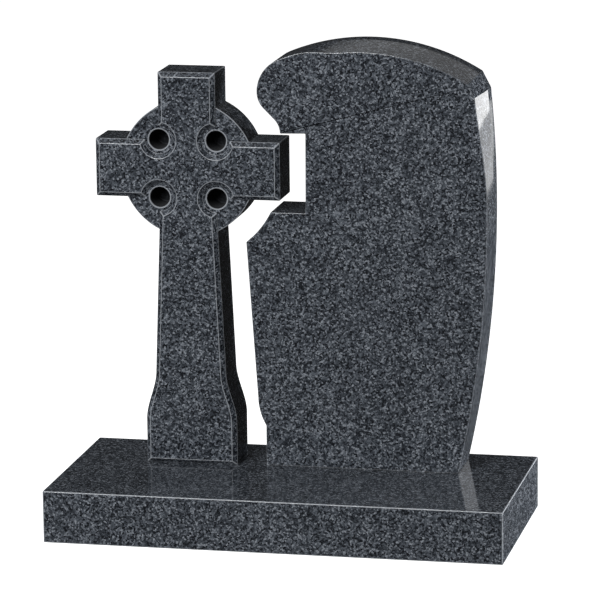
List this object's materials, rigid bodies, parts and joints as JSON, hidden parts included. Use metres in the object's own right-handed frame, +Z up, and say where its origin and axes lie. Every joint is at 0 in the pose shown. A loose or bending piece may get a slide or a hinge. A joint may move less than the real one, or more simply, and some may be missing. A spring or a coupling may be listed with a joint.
{
  "type": "celtic cross headstone",
  "caption": "Polished granite memorial: a Celtic cross and an arched tablet, cut back round the arm of the cross, stand side by side on a plinth.",
  "frame": {"origin": "middle of the underside of the plinth", "axes": "+Z up, -Y the way the polished faces look, +X towards the tablet's side"},
  "size_m": [0.914, 0.432, 0.9576],
  "materials": {
    "plinth_granite": "polished dark grey granite",
    "cross_granite": "polished dark grey granite",
    "tablet_granite": "polished dark grey granite"
  },
  "bodies": {
    "root": {"plinth": "plinth_granite", "cross": "cross_granite", "tablet": "tablet_granite"}
  },
  "joints": []
}
